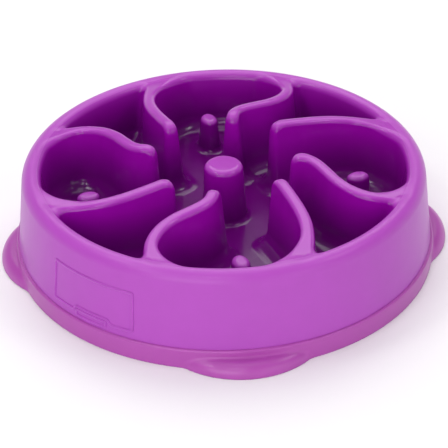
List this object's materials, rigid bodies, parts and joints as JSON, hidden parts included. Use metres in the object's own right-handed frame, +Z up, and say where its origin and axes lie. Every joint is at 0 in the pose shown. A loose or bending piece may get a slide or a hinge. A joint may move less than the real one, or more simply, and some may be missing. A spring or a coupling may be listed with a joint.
{
  "type": "slow feeder bowl",
  "caption": "Round moulded slow feeder bowl with rising curved ridges, a centre post and pegs, on a soft non-slip ring with foot tabs.",
  "frame": {"origin": "centre of the bowl's axis on the surface it stands on", "axes": "+Z up along the bowl's axis; -Y towards the petal that faces the viewer in the picture, +X to the viewer's right"},
  "size_m": [0.2882, 0.2882, 0.0713],
  "materials": {
    "bowl_plastic": "glossy moulded",
    "grip_rubber": "satin soft-touch"
  },
  "bodies": {
    "root": {"bowl": "bowl_plastic", "grip_ring": "grip_rubber"}
  },
  "joints": []
}
